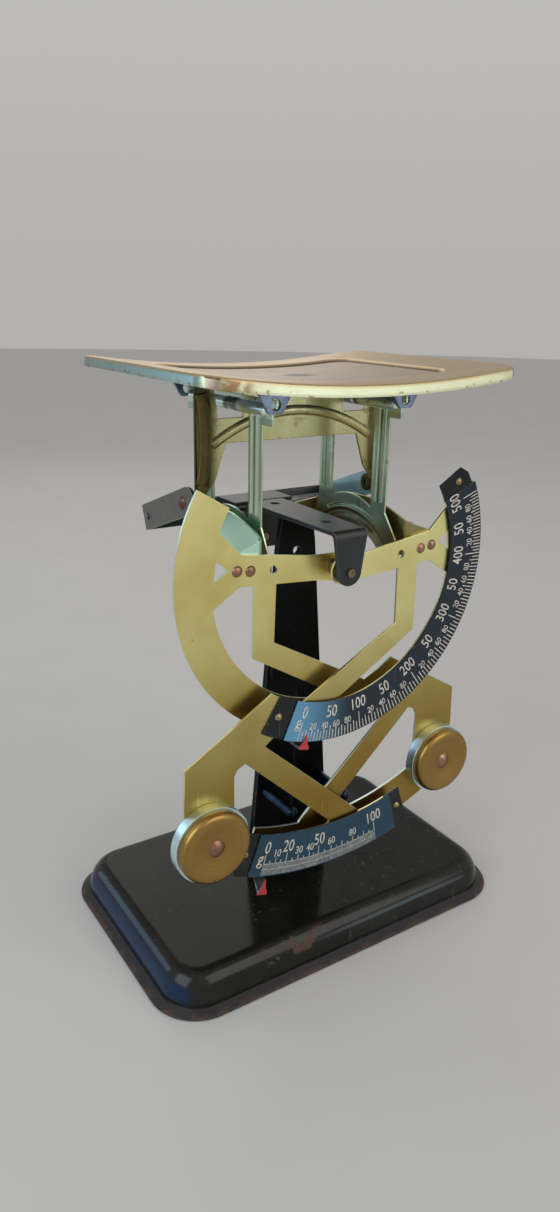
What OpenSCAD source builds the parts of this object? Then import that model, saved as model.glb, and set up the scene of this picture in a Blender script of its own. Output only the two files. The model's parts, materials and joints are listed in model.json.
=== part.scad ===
// Precision balance: two counter-weighted quadrants carry a pan on two side frames.
// Millimetres. Origin under the middle of the base, +Z up, +X right, the front faces -Y.

/* [Base] */
// Length of the base
base_l = 150; // [142:1:170]
// Depth of the base
base_w = 98; // [92:1:120]
// Height of the base's flat top
base_h = 12.8; // [11:0.2:15]
// Corner radius of the base's lip
base_r = 18; // [15:1:24]
// How far the flat top lies inside the lip's edge
base_step = 11.4; // [10:0.2:13]
// Thickness of the base's sheet
base_t = 1; // [0.8:0.1:1.4]

/* [Column and bracket] */
// Height of the fulcrum above the table
fulcrum_h = 142.3; // [140:0.5:150]
// Thickness of the column's bar
column_t = 2.5; // [2:0.1:3]
// Width of the column at its foot
column_foot_w = 37.6; // [33:0.5:41]
// Width of the column at its neck
column_neck_w = 14; // [13:0.5:15]
// Diameter of the fulcrum pins
pin_d = 3; // [2.6:0.1:3.4]
// Thickness of the bracket's strap
bracket_t = 1.5; // [1.2:0.1:1.8]

/* [Quadrants] */
// Thickness of the quadrant plates
plate_t = 1; // [0.8:0.1:1.2]
// Inner radius of the upper ring
ring_in = 47.4; // [46.8:0.1:48]
// Outer radius of the upper ring
ring_out = 60.3; // [59.5:0.1:60.8]
// Inner radius of the lower ring
low_in = 97; // [96:0.5:98]
// Outer radius of the lower ring
low_out = 111.5; // [110.5:0.1:112]
// Distance from the fulcrum to the load hole
load_r = 24.6; // [24.2:0.1:25]

/* [Weights] */
// Diameter of the steel weight discs
disc_d = 27.6; // [26:0.2:28.4]
// Thickness of the steel weight discs
disc_t = 4; // [3:0.1:4.4]
// Diameter of the brass caps
cap_d = 26; // [24:0.2:26]
// Height of the brass caps
cap_t = 3.5; // [2.6:0.1:3.7]

/* [Scale strips] */
// Thickness of the scale strips
strip_t = 0.7; // [0.5:0.05:0.8]
// Gap behind a strip's raised part
strip_lift = 0.65; // [0.4:0.05:0.7]

/* [Side frames] */
// Distance of each side frame from the middle
frame_x = 24.5; // [24.2:0.1:24.8]
// Thickness of the side frames' sheet
frame_t = 0.8; // [0.6:0.1:1]
// Height from the fulcrum up to the hinge line of the side frames
hinge_rise = 54.4; // [53:0.2:56]
// Width of the side frames' uprights
upright_w = 8; // [6:0.5:9]

/* [Arch and swing frame] */
// Thickness of the arch frame's sheet
arch_t = 1; // [0.8:0.1:1.2]
// Thickness of the swing frame's strip
swing_t = 1.2; // [1:0.1:1.4]
// Height of the swing frame's strip
swing_h = 9.4; // [8:0.1:9.8]
// Diameter of the swing frame's shaft
shaft_d = 2.4; // [2:0.1:2.6]

/* [Pan] */
// Length of the pan
pan_l = 119; // [110:1:130]
// Depth of the pan
pan_w = 95; // [88:1:100]
// How much higher the pan's ends are than its middle
pan_rise = 4.3; // [3.5:0.1:6]
// Height of the pan's folded rim
pan_rim = 3.6; // [3:0.1:4]
// Corner radius of the pan
pan_r = 10; // [6:1:14]
// Depth of the pan's recess
recess_d = 1.1; // [0.8:0.1:1.4]

/* [Hidden] */

$fn = 64;
big = 400;
run_gap = 0.05;
face_gap = 0.15;

// Layers from front to back
scale_y = -30.25;
layer_step = 5.35;
frame_depth = 53.35;
column_y = -2;
column_back = column_y + column_t;
arm_y = scale_y + frame_depth;
lug_gap = 3.25;
rear_lug_gap = 1.6;
bracket_front = scale_y - lug_gap;
bracket_back = arm_y - rear_lug_gap;

// Base
lip_edge_h = 0.8;
lip_h = 2;
lip_w = 3.5;
shoulder_steps = 12;
top_r = base_r - base_step;

// Column and bracket
bracket_top = fulcrum_h + 14.2;
column_top = bracket_top - bracket_t;
foot_l = 13;
foot_rivet_x = 9;
foot_rivet_y = column_back + 7;
foot_rivet_d = 3;
foot_head_d = 5.4;
foot_head_h = 1.3;
guard_seat_d = 3;
guard_x = 12;
guard_d = 4.5;
guard_z = base_h + 35.2;
guard_end = -22.5;
lug_w = 9.4;
rear_lug_w = 14.8;
rear_lug_drop = 4.1;
strap_front_w = 13;
strap_back_w = 16;
head_w = 25;
strap_holes_y = [-19, 13];
strap_hole_d = 3.5;

// Swing frame
shaft_gap = 6.35;
shaft_y = arm_y + layer_step + plate_t + shaft_gap;
shaft_z = fulcrum_h + 9.1;
head_back = shaft_y - 1.9;
swing_tilt = 20.5;
swing_r = 30;
swing_x = 39.3;
swing_nose = 38.5;
swing_web_y = 2.2;
ear_r = 2;
swing_rivet_d = 2.4;

// Quadrant outline, measured from the fulcrum with x to the right and y up
hub_r = 5;
upper_start = -35.6;
upper_end = 120.9;
lower_end = 18.3;
lower_start = -30;
weight_at = [-52.3, -86];
weight_pad_r = 12.6;
load_at = [load_r * cos(5.4), load_r * sin(5.4)];
load_hole_d = 2.9;
rivet_at = [[38.1, 3.8], [33.2, 3.2]];
rivet_d = 2;
rivet_head_d = 3.8;
rivet_head_h = 1.1;
weight_rivet_d = 4;
weight_head_d = 6.6;
weight_head_h = 1.5;
cap_rim_r = 0.31 * cap_d;
cap_dish = 0.45 * cap_t;
seat_gap = 0.03;

// Stirrup
web_x = 28;
web_foot = 0.5;
web_low = 4;
web_near = 12;
web_high = 17.5;
tab_end = 41.2;
bend_r = 2.5;
rear_hub_r = 5.6;

// Scale strips
upper_strip = [46.5, 61];
upper_main = [-22, 114];
upper_tabs = [-31.3, 122];
lower_strip = [96, 112.4];
lower_main = [-18.8, 14.6];
lower_tabs = [-22.4, 18.3];
upper_corner = [[46.9, 31.5], [52.4, 28.6], [54.6, 25], [62, 25], [62, 40], [46.9, 40]];
upper_screws = [[-25.3, -47.4], [48.3, 25.4]];
lower_screws = [[-37.9, -97.2], [29.8, -99.1]];
screw_d = 1.8;
screw_head_d = 2.8;
screw_head_h = 0.8;

// Pointers
pointer_t = 0.8;
pointer_half = 2;
upper_pointer_angle = -14.6;
lower_pointer_angle = -15.2;
upper_tip_r = ring_out - 2.1;
upper_foot_r = ring_out + 3.1;
lower_tip_r = low_out + 2.2;
lower_foot_r = low_out + 8.3;
lower_joint_r = low_out + 2.6;

// Side frames
hinge_z = fulcrum_h + hinge_rise;
left_mid = 2.7;
right_mid = -0.3;
left_ears = [-24, 34];
right_ears = [-26.8, 31.2];
tip_gap = 0.7;
right_tips = [scale_y + plate_t + tip_gap, arm_y - tip_gap];
left_tips = [for (y = right_tips) y + layer_step];
shoulder_z = hinge_z - 6.8;
window_top = hinge_z - 4.1;
window_side = 11.8;
hump_z = fulcrum_h + 18.2;
hump_r = 23.5;
arch_z = fulcrum_h + 7.2;
arch_r = 25.5;
tip_top = fulcrum_h + 3.9;
tip_low = fulcrum_h + 0.9;
tongue_h = 2.6;
barrel_d = 4.2;
barrel_z = hinge_z - 2.2;
frame_rib_w = 2.2;
frame_rib_h = 0.85;
groove_w = 1.5;
groove_depth = 1;

// Arch frame
arch_y = 1.5;
arch_top = hinge_z + 3.7;
notch_z = hinge_z - 6.8;
notch = [20.5, 30];
foot_gap = 0.7;
foot_x = swing_x - foot_gap - arch_t;
foot_y = shaft_y - swing_r * cos(swing_tilt);
foot_z = shaft_z + swing_r * sin(swing_tilt);
foot_hole_d = 3;
leg_x = foot_x + arch_t;
cross_rib = [3.2, 1];
cross_rib_r = 57.2;
cross_rib_z = fulcrum_h - 8.2;
cross_rib_half = 34.6;
leg_rib = [4.4, 0.9];
leg_rib_r = 65.7;
leg_rib_x = leg_x + 61.5;
leg_rib_z = fulcrum_h + 41;
leg_rib_half = 13;

// Pan
pan_y = 1.5;
pan_t = 0.9;
pan_top = hinge_z + 7.1;
pan_bend_r = (pow(pan_l / 2, 2) + pow(pan_rise, 2)) / (2 * pan_rise);
recess = [84, 64];
recess_r = 5;
bracket_plate_t = 1.4;
bracket_under = recess_d + pan_t + 0.02;
ear_t = 1.2;
ear_hole_d = 3.6;

// Shared shapes

// A point at radius r and angle a, counted from straight down toward +x
function polar(r, a) = [r * sin(a), -r * cos(a)];

module sheet_xz(front, t) {
    translate([0, front + t, 0])
        rotate([90, 0, 0])
            linear_extrude(t)
                children();
}

module sheet_yz(left, t) {
    translate([left, 0, 0])
        rotate([90, 0, 90])
            linear_extrude(t)
                children();
}

module rounded_rect(l, w, r) {
    square([l - 2 * r, w], center = true);
    square([l, w - 2 * r], center = true);
    for (sx = [-1, 1], sy = [-1, 1])
        translate([sx * (l / 2 - r), sy * (w / 2 - r)])
            circle(r);
}

module ring_sector(r_in, r_out, from, to) {
    steps = ceil((to - from) / 30);
    intersection() {
        difference() {
            circle(r_out, $fn = 180);
            circle(r_in, $fn = 180);
        }
        polygon(concat([[0, 0]], [for (i = [0:steps]) polar(2 * r_out, from + (to - from) * i / steps)]));
    }
}

// A head of diameter d that stands h proud of the plane y = 0, toward the front
module dome(d, h) {
    r = (pow(d / 2, 2) + h * h) / (2 * h);
    rotate([90, 0, 0])
        intersection() {
            translate([0, 0, h - r])
                sphere(r);
            cylinder(d = d, h = h + 1);
        }
}

// A round bar along Y from front to back
module bar_y(d, front, back) {
    translate([0, front, 0])
        rotate([-90, 0, 0])
            cylinder(d = d, h = back - front);
}

// Half-round section of a pressed rib, turned over when side is -1
module rib_section(w, h, side) {
    steps = 8;
    arc = [for (i = [0:steps]) let (a = 180 * i / steps) [w / 2 * cos(a), side * h * sin(a)]];
    polygon(concat([[w / 2, -0.1 * side]], arc, [[-w / 2, -0.1 * side]]));
}

// A rib that follows an arc of radius r about Z
module rib_arc(r, from, to, w, h, side = 1) {
    rotate([0, 0, from])
        rotate_extrude(angle = to - from, $fn = 180)
            translate([r, 0])
                rib_section(w, h, side);
}

// A rivet along Y with a domed head at each end
module rivet_y(d, head_d, head_h, front, back) {
    bar_y(d, front, back);
    translate([0, front, 0])
        dome(head_d, head_h);
    translate([0, back, 0])
        rotate([0, 0, 180])
            dome(head_d, head_h);
}

// Base

// Section of the shell at a corner, as seen from the corner's centre
function shoulder(inset, drop) = [for (i = [0:shoulder_steps])
    let (a = 90 * i / shoulder_steps, wall = lip_w + inset)
    [base_r - wall - (base_step - wall) * (1 - cos(a)), lip_h + (base_h - drop - lip_h) * sin(a)]];

module base_section() {
    outer = concat([[base_r, 0], [base_r, lip_edge_h]], shoulder(0, 0));
    inner = concat([[base_r - lip_w - base_t, 0]], shoulder(base_t, base_t));
    polygon(concat(outer, [for (i = [len(inner) - 1:-1:0]) inner[i]]));
}

module base_shell() {
    color("#15161a") {
        for (k = [0:3]) {
            sx = (k == 0 || k == 3) ? 1 : -1;
            sy = k < 2 ? 1 : -1;
            translate([sx * (base_l / 2 - base_r), sy * (base_w / 2 - base_r), 0])
                rotate([0, 0, 90 * k])
                    rotate_extrude(angle = 90, $fn = 96)
                        base_section();
        }
        for (s = [-1, 1]) {
            translate([s * (base_l / 2 - base_r), s * (base_w / 2 - base_r), 0])
                rotate([90, 0, 90 - 90 * s])
                    linear_extrude(base_w - 2 * base_r)
                        base_section();
            translate([-s * (base_l / 2 - base_r), s * (base_w / 2 - base_r), 0])
                rotate([90, 0, 90 * s])
                    linear_extrude(base_l - 2 * base_r)
                        base_section();
        }
        translate([0, 0, base_h - base_t])
            difference() {
                linear_extrude(base_t)
                    rounded_rect(base_l - 2 * base_step, base_w - 2 * base_step, top_r);
                for (s = [-1, 1])
                    translate([s * foot_rivet_x, foot_rivet_y, -1])
                        cylinder(d = foot_rivet_d, h = base_t + 2);
            }
    }
}

// Column, bracket and pins

module column() {
    foot_half = column_foot_w / 2;
    neck_half = column_neck_w / 2;
    color("#1b1c20") {
        difference() {
            sheet_xz(column_y, column_t)
                polygon([[-foot_half, base_h], [foot_half, base_h], [foot_half - 3.4, base_h + 42.2],
                    [neck_half + 1, fulcrum_h + 2.7], [neck_half - 0.5, column_top],
                    [-neck_half + 0.5, column_top], [-neck_half - 1, fulcrum_h + 2.7],
                    [-foot_half + 3.4, base_h + 42.2]]);
            translate([0, 0, fulcrum_h])
                bar_y(pin_d, column_y - 1, column_back + 1);
            for (s = [-1, 1])
                translate([s * guard_x, 0, guard_z])
                    bar_y(guard_seat_d, column_y - 1, column_back + 1);
        }
        difference() {
            translate([-foot_half + 2, column_back - 0.01, base_h])
                cube([column_foot_w - 4, foot_l, column_t]);
            for (s = [-1, 1])
                translate([s * foot_rivet_x, foot_rivet_y, base_h - 1])
                    cylinder(d = foot_rivet_d, h = column_t + 2);
        }
    }
}

module column_rivets() {
    color("#26262a")
        for (s = [-1, 1])
            translate([s * foot_rivet_x, foot_rivet_y, base_h - base_t])
                rotate([90, 0, 0])
                    rivet_y(foot_rivet_d, foot_head_d, foot_head_h, 0, base_t + column_t);
}

module guard_pins() {
    color("#20242c")
        for (s = [-1, 1])
            translate([s * guard_x, 0, guard_z]) {
                bar_y(guard_seat_d, column_y, column_back);
                bar_y(guard_d, guard_end + guard_d / 2, column_y);
                translate([0, guard_end + guard_d / 2, 0])
                    sphere(d = guard_d);
            }
}

// Side view of the bracket's bent strap
module strap_side(inset, r) {
    front = bracket_front + inset;
    back = bracket_back - inset;
    top = bracket_top - inset;
    polygon([[front, fulcrum_h - 10], [back, fulcrum_h - 10], [back, top - r], [back - r, top],
        [front + r, top], [front, top - r]]);
    for (y = [front + r, back - r])
        translate([y, top - r])
            circle(r);
}

module top_bracket() {
    front_half = strap_front_w / 2;
    back_half = strap_back_w / 2;
    color("#1d1e22")
        difference() {
            union() {
                intersection() {
                    sheet_yz(-back_half - 1, strap_back_w + 2)
                        difference() {
                            strap_side(0, 2.5);
                            strap_side(bracket_t, 1);
                        }
                    linear_extrude(big)
                        polygon([[-front_half, bracket_front - 1], [front_half, bracket_front - 1],
                            [back_half, bracket_back + 1], [-back_half, bracket_back + 1]]);
                    union() {
                        front_lug();
                        rear_lug();
                    }
                }
                shaft_carrier();
            }
            translate([0, 0, fulcrum_h])
                bar_y(pin_d, bracket_front - 1, bracket_back + 1);
            for (y = strap_holes_y)
                translate([0, y, column_top - 1])
                    cylinder(d = strap_hole_d, h = bracket_t + 2);
            translate([-big / 2, shaft_y, shaft_z])
                rotate([0, 90, 0])
                    cylinder(d = shaft_d, h = big);
        }
}

module front_lug() {
    half = lug_w / 2;
    sheet_xz(bracket_front - 1, 25) {
        translate([0, fulcrum_h])
            circle(half);
        polygon([[-half, fulcrum_h], [half, fulcrum_h], [strap_front_w / 2, column_top - 1],
            [strap_back_w, column_top - 0.9], [strap_back_w, bracket_top + 1],
            [-strap_back_w, bracket_top + 1], [-strap_back_w, column_top - 0.9],
            [-strap_front_w / 2, column_top - 1]]);
    }
}

module rear_lug() {
    half = rear_lug_w / 2;
    low = fulcrum_h - rear_lug_drop;
    sheet_xz(bracket_front + 24, bracket_back - bracket_front) {
        translate([-half, low + 2])
            square([rear_lug_w, bracket_top - low]);
        translate([-half + 2, low])
            square([rear_lug_w - 4, 4]);
        for (s = [-1, 1])
            translate([s * (half - 2), low + 2])
                circle(2);
    }
}

// The strap's widened rear end, with two ears bent down for the shaft
module shaft_carrier() {
    translate([-head_w / 2, bracket_back - 1, column_top])
        cube([head_w, head_back - bracket_back + 1, bracket_t]);
    for (x = [-head_w / 2, head_w / 2 - bracket_t])
        sheet_yz(x, bracket_t) {
            translate([shaft_y, shaft_z])
                circle(ear_r);
            polygon([[head_back - 4, column_top + 0.1], [shaft_y - ear_r, shaft_z],
                [shaft_y + ear_r * cos(25), shaft_z + ear_r * sin(25)],
                [shaft_y - 0.1 * ear_r, column_top + 0.1], [head_back, bracket_top],
                [head_back - 4, bracket_top]]);
        }
}

// A fulcrum pin with collars that keep two moving plates apart
module fulcrum_pin(front, back, collars) {
    color("#8a8378")
        translate([0, 0, fulcrum_h]) {
            bar_y(pin_d, front, back);
            for (c = collars)
                bar_y(pin_d + 2.6, c[0], c[1]);
        }
}

module front_fulcrum_pin() {
    plate_back = scale_y + plate_t;
    pointer_back = scale_y + layer_step + plate_t;
    fulcrum_pin(bracket_front - 0.9, pointer_back + face_gap + 1,
        [[bracket_front + bracket_t, scale_y - face_gap],
        [plate_back + face_gap, scale_y + layer_step - face_gap],
        [pointer_back + face_gap, pointer_back + face_gap + 1]]);
}

module rear_fulcrum_pin() {
    pointer_front = arm_y + layer_step;
    fulcrum_pin(bracket_back - bracket_t - 0.9, pointer_front + plate_t + face_gap + 1,
        [[bracket_back, arm_y - face_gap],
        [arm_y + plate_t + face_gap, pointer_front - face_gap],
        [pointer_front + plate_t + face_gap, pointer_front + plate_t + face_gap + 1]]);
}

// Swing frame and its shaft

module swing_shaft() {
    length = 2 * (swing_x + swing_t) + 1.2;
    color("#6f7378")
        translate([-length / 2, shaft_y, shaft_z])
            rotate([0, 90, 0])
                cylinder(d = shaft_d, h = length);
}

module swing_place() {
    translate([0, shaft_y, shaft_z])
        rotate([-swing_tilt, 0, 0])
            children();
}

module swing_frame() {
    half = swing_h / 2;
    color("#202227")
        swing_place() {
            for (x = [-swing_x - swing_t, swing_x])
                difference() {
                    sheet_yz(x, swing_t) {
                        translate([-swing_nose + half, 0])
                            circle(half);
                        translate([-swing_nose + half, -half])
                            square([swing_nose - half + swing_web_y + swing_t, swing_h]);
                    }
                    translate([x - 1, 0, 0])
                        rotate([0, 90, 0])
                            cylinder(d = shaft_d + 2 * run_gap, h = swing_t + 2);
                    translate([x - 1, -swing_r, 0])
                        rotate([0, 90, 0])
                            cylinder(d = swing_rivet_d, h = swing_t + 2);
                }
            translate([-swing_x, swing_web_y, -half])
                cube([2 * swing_x, swing_t, swing_h]);
        }
}

module swing_rivets() {
    color("#8a5a44")
        swing_place()
            for (s = [-1, 1])
                translate([s * (swing_x + swing_t / 2), -swing_r, 0])
                    rotate([0, 0, 90 * s])
                        translate([0, -swing_t / 2, 0]) {
                            bar_y(swing_rivet_d, 0, swing_t);
                            dome(4.6, 1.3);
                        }
}

// Quadrants. Each piece is drawn for the scale quadrant; the pointer quadrant
// is its mirror image, one layer behind.

module scale_side() {
    translate([0, 0, fulcrum_h])
        children();
}

module pointer_side() {
    translate([0, layer_step, fulcrum_h])
        mirror([1, 0, 0])
            children();
}

// One layer of plate, or with a margin the cutter through it
module on_plate(margin = 0) {
    sheet_xz(scale_y - margin, plate_t + 2 * margin)
        children();
}

module quadrant_blank() {
    on_plate()
        circle(hub_r);
    on_plate()
        ring_sector(ring_in, ring_out, -26.5, upper_end);
    on_plate()
        ring_sector(ring_in, ring_in + 8, upper_start, -20);
    on_plate()
        ring_sector(low_in, low_out, lower_start, lower_end);
    on_plate()
        translate(weight_at)
            circle(weight_pad_r);
    // Load arm and horn
    on_plate()
        polygon([[0.5, hub_r - 0.1], [8.8, 5.1], [36.6, 9.1], [44.1, 16.6], [ring_in + 4, 16.6],
            [ring_in + 4, -11], [46, -7.2], [37.3, -1.6], [8.8, -3.7], [0.5, 0.1 - hub_r]]);
    // Strut between the two windows and the diagonal band that it ends in
    on_plate()
        polygon([[23.3, 0], [32.1, 0], [32.3, -26.9], [0.2, -46.2], polar(ring_in + 3, -6),
            polar(ring_in + 3, -21), polar(ring_in - 0.3, -18.5), [23.8, -22.9]]);
    // Leg to the weight
    on_plate()
        polygon([polar(ring_in + 0.4, upper_start), [-60.2, -58.1], [-61, -76], [-62, -86],
            [-42, -86], [-42, -65.5], [-40.9, -63.2], [-37.8, -61.7], [-30.1, -57.4],
            polar(ring_out - 0.3, -25.5), polar(ring_in + 4, -24)]);
    // Lower diagonal
    on_plate()
        polygon([[-36, -57], [-30.1, -57.4], polar(low_in - 1, 6.8), polar(low_in + 4, 7.5),
            polar(low_in + 4, -2.5), polar(low_in - 1.4, -1.1), [-37.8, -61.7]]);
}

// The pointer quadrant has no screws
module quadrant_plate(screws = []) {
    difference() {
        quadrant_blank();
        on_plate(1)
            polygon([[45.6, 8.1], [41.2, 4.5], [46.5, 1]]);
        on_plate(1)
            translate(load_at)
                circle(d = load_hole_d);
        on_plate(1)
            circle(d = pin_d + 2 * run_gap);
        for (p = rivet_at)
            on_plate(1)
                translate(p)
                    circle(d = rivet_d);
        for (p = screws)
            on_plate(1)
                translate(p)
                    circle(d = screw_d);
        on_plate(1)
            translate(weight_at)
                circle(d = weight_rivet_d);
    }
}

// Its upper corner is cut away under the strip's tab
module scale_plate() {
    color("#c9b455")
        scale_side()
            difference() {
                quadrant_plate(concat(upper_screws, lower_screws));
                on_plate(1)
                    translate([-0.4, -0.3])
                        polygon(upper_corner);
            }
}

module pointer_plate() {
    color("#c9b455")
        pointer_side()
            quadrant_plate();
}

// Plan view of a sheet bent round a corner at the origin, with a leg along +x and one along +y
module bent_corner(leg_x, leg_y) {
    translate([bend_r, 0])
        square([leg_x - bend_r, plate_t]);
    translate([0, bend_r])
        square([plate_t, leg_y - bend_r]);
    translate([bend_r, bend_r])
        difference() {
            intersection() {
                circle(bend_r);
                translate([-bend_r, -bend_r])
                    square(bend_r);
            }
            circle(bend_r - plate_t);
        }
}

// One sheet: a tab behind the plate, a web, and an arm that turns in to the rear fulcrum
module stirrup() {
    front = scale_y + plate_t;
    back = arm_y + plate_t;
    mid = (front + back) / 2;
    reach = bend_r - plate_t / 2;
    left = web_x - plate_t / 2;
    right = web_x + plate_t / 2;
    difference() {
        intersection() {
            translate([0, 0, -big / 2])
                linear_extrude(big) {
                    translate([left, front])
                        bent_corner(tab_end - left, mid - front + 0.1);
                    translate([right, back])
                        rotate([0, 0, 180])
                            bent_corner(right + rear_hub_r, back - mid);
                }
            union() {
                sheet_xz(front - 1, plate_t + 1.01)
                    polygon([[web_x + reach - 0.01, web_foot], [tab_end, web_foot], [tab_end, 6.8],
                        [36.5, 9.6], [web_x + reach - 0.01, web_near]]);
                // The web's upper edge rises toward its middle
                sheet_yz(web_x - reach, 2 * reach)
                    polygon([[front - 1, web_foot], [front + 4, web_foot], [front + 10, web_low],
                        [back - 10, web_low], [back - 4, -web_foot], [back + 1, -web_foot],
                        [back + 1, web_near], [back - 6, web_near + 2.2], [back - 12, web_near + 3.9],
                        [mid + 7, web_high - 0.2], [mid, web_high], [mid - 7, web_high - 0.2],
                        [front + 12, web_near + 3.9], [front + 6, web_near + 2.2], [front - 1, web_near]]);
                sheet_xz(back - plate_t - 0.01, plate_t + 1) {
                    circle(rear_hub_r);
                    polygon([[-2.5, 3], [-0.5, 6.6], [9, 10], [web_x - reach + 0.01, web_near],
                        [web_x - reach + 0.01, -web_foot], [22, -1.2], [8.8, -4.4], [0.5, -rear_hub_r]]);
                }
            }
        }
        for (p = rivet_at)
            translate([p[0], 0, p[1]])
                bar_y(rivet_d, front - 1, front + plate_t + 1);
        bar_y(pin_d + 2 * run_gap, back - plate_t - 1, back + 1);
        translate([load_at[0], 0, load_at[1]])
            bar_y(load_hole_d, back - plate_t - 1, back + 1);
    }
}

module scale_stirrup() {
    color("#a8934a")
        scale_side()
            stirrup();
}

module pointer_stirrup() {
    color("#a8934a")
        pointer_side()
            stirrup();
}

module quadrant_rivets() {
    for (p = rivet_at)
        translate([p[0], 0, p[1]])
            rivet_y(rivet_d, rivet_head_d, rivet_head_h, scale_y, scale_y + 2 * plate_t);
}

module scale_rivets() {
    color("#9a6b50")
        scale_side()
            quadrant_rivets();
}

module pointer_rivets() {
    color("#9a6b50")
        pointer_side()
            quadrant_rivets();
}

module weight_place() {
    translate([weight_at[0], scale_y, weight_at[1]])
        children();
}

module weight_disc() {
    weight_place()
        difference() {
            bar_y(disc_d, -disc_t, 0);
            bar_y(weight_rivet_d, -disc_t - 1, 1);
        }
}

// A turned cap: convex rim round a dished middle
module weight_cap() {
    r = cap_d / 2;
    steps = 8;
    rim = [for (i = [0:steps]) let (a = 90 * i / steps)
        [cap_rim_r + (r - cap_rim_r) * cos(a), cap_t * sin(a)]];
    hollow = [for (i = [0:steps]) let (a = 90 * i / steps) [cap_rim_r * cos(a), cap_t - cap_dish * sin(a)]];
    weight_place()
        translate([0, -disc_t, 0])
            rotate([90, 0, 0])
                difference() {
                    rotate_extrude($fn = 96)
                        polygon(concat([[0, 0], [r, 0]], rim, hollow));
                    translate([0, 0, -1])
                        cylinder(d = weight_rivet_d, h = cap_t + 2);
                }
}

// Its head rests in the cap's hollow
module weight_rivet() {
    hollow_at_head = cap_t - cap_dish * sqrt(1 - pow(weight_head_d / 2 / cap_rim_r, 2));
    weight_place()
        rivet_y(weight_rivet_d, weight_head_d, weight_head_h, -disc_t - hollow_at_head - seat_gap, plate_t);
}

module scale_weight_disc() {
    color("#8f97a6")
        scale_side()
            weight_disc();
}

module pointer_weight_disc() {
    color("#8f97a6")
        pointer_side()
            weight_disc();
}

module scale_weight_cap() {
    color("#d8c07c")
        scale_side()
            weight_cap();
}

module pointer_weight_cap() {
    color("#d8c07c")
        pointer_side()
            weight_cap();
}

module scale_weight_rivet() {
    color("#9c6a4c")
        scale_side()
            weight_rivet();
}

module pointer_weight_rivet() {
    color("#9c6a4c")
        pointer_side()
            weight_rivet();
}

// A strip raised off the plate, with a tab at each end that lies on the plate
module scale_strip(radii, main, tabs, screws, corner = []) {
    overlap = 0.6;
    difference() {
        union() {
            sheet_xz(scale_y - strip_lift - strip_t, strip_t)
                ring_sector(radii[0], radii[1], main[0], main[1]);
            for (side = [[tabs[0], main[0] + overlap], [main[1] - overlap, tabs[1]]])
                sheet_xz(scale_y - strip_t, strip_t)
                    ring_sector(radii[0], radii[1], side[0], side[1]);
            for (side = [[main[0] - overlap, main[0] + overlap], [main[1] - overlap, main[1] + overlap]])
                sheet_xz(scale_y - strip_lift - strip_t, strip_lift + strip_t)
                    ring_sector(radii[0], radii[1], side[0], side[1]);
        }
        for (p = screws)
            translate([p[0], 0, p[1]])
                bar_y(screw_d, scale_y - 2, scale_y + 1);
        if (len(corner) > 0)
            sheet_xz(scale_y - 3, 4)
                polygon(corner);
    }
}

module upper_scale() {
    color("#16171b")
        scale_side()
            scale_strip(upper_strip, upper_main, upper_tabs, upper_screws, upper_corner);
}

module lower_scale() {
    color("#16171b")
        scale_side()
            scale_strip(lower_strip, lower_main, lower_tabs, lower_screws);
}

module scale_screws() {
    color("#b79b5e")
        scale_side()
            for (p = concat(upper_screws, lower_screws))
                translate([p[0], scale_y - strip_t, p[1]]) {
                    bar_y(screw_d, 0, strip_t + plate_t);
                    dome(screw_head_d, screw_head_h);
                }
}

// A bent strip: a tab on the pointer plate, a bar forward past the scale's edge,
// and a pointed tip that stands up to the marks
module pointer(angle, tab_r, joint_r, foot_r, tip_r, tip_y) {
    plate_front = scale_y + layer_step;
    half = pointer_half;
    middle = (foot_r + tip_r) / 2;
    translate([0, 0, fulcrum_h])
        rotate([0, -angle, 0]) {
            sheet_xz(plate_front - pointer_t, pointer_t)
                polygon([[-half, -tab_r], [half, -tab_r], [half, -joint_r], [-half, -joint_r]]);
            sheet_yz(-half, 2 * half)
                polygon([[tip_y, -foot_r], [tip_y, pointer_t - foot_r], [plate_front, pointer_t - joint_r],
                    [plate_front, -joint_r]]);
            sheet_xz(tip_y, pointer_t)
                polygon([[-half, -foot_r], [-half, pointer_t - foot_r], [-0.4 * half, -middle],
                    [-0.1, -tip_r], [0.1, -tip_r], [0.4 * half, -middle], [half, pointer_t - foot_r],
                    [half, -foot_r]]);
        }
}

module upper_pointer() {
    color("#1c1d21")
        pointer(upper_pointer_angle, ring_out - 5, upper_foot_r, upper_foot_r, upper_tip_r,
            scale_y - strip_lift - strip_t - 0.4 - pointer_t);
}

module lower_pointer() {
    color("#1c1d21")
        pointer(lower_pointer_angle, low_out - 6, lower_joint_r, lower_foot_r, lower_tip_r,
            scale_y - strip_lift - strip_t);
}

// Side frames

module side_frame_outline(mid, ears, tips) {
    half_out = window_side + upright_w;
    top = hinge_z + tongue_h / 2;
    neck = hinge_z - tongue_h / 2;
    reach = ear_t / 2 + 0.6;
    shoulder_in = ear_t / 2 + 0.5;
    difference() {
        polygon([[ears[0] - reach, top], [ears[1] + reach, top], [ears[1] + reach, neck],
            [ears[1] - shoulder_in, neck], [ears[1] - shoulder_in, shoulder_z],
            [mid + half_out, shoulder_z], [mid + half_out, hump_z - 3.5], [tips[1], tip_top],
            [tips[1], tip_low], [tips[0], tip_low], [tips[0], tip_top], [mid - half_out, hump_z - 3.5],
            [mid - half_out, shoulder_z], [ears[0] + shoulder_in, shoulder_z], [ears[0] + shoulder_in, neck],
            [ears[0] - reach, neck]]);
        difference() {
            translate([mid - window_side, hump_z - 6])
                square([2 * window_side, window_top - hump_z + 6]);
            translate([mid, hump_z - hump_r])
                circle(hump_r, $fn = 128);
        }
        translate([mid, arch_z - arch_r])
            circle(arch_r, $fn = 128);
    }
}

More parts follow.
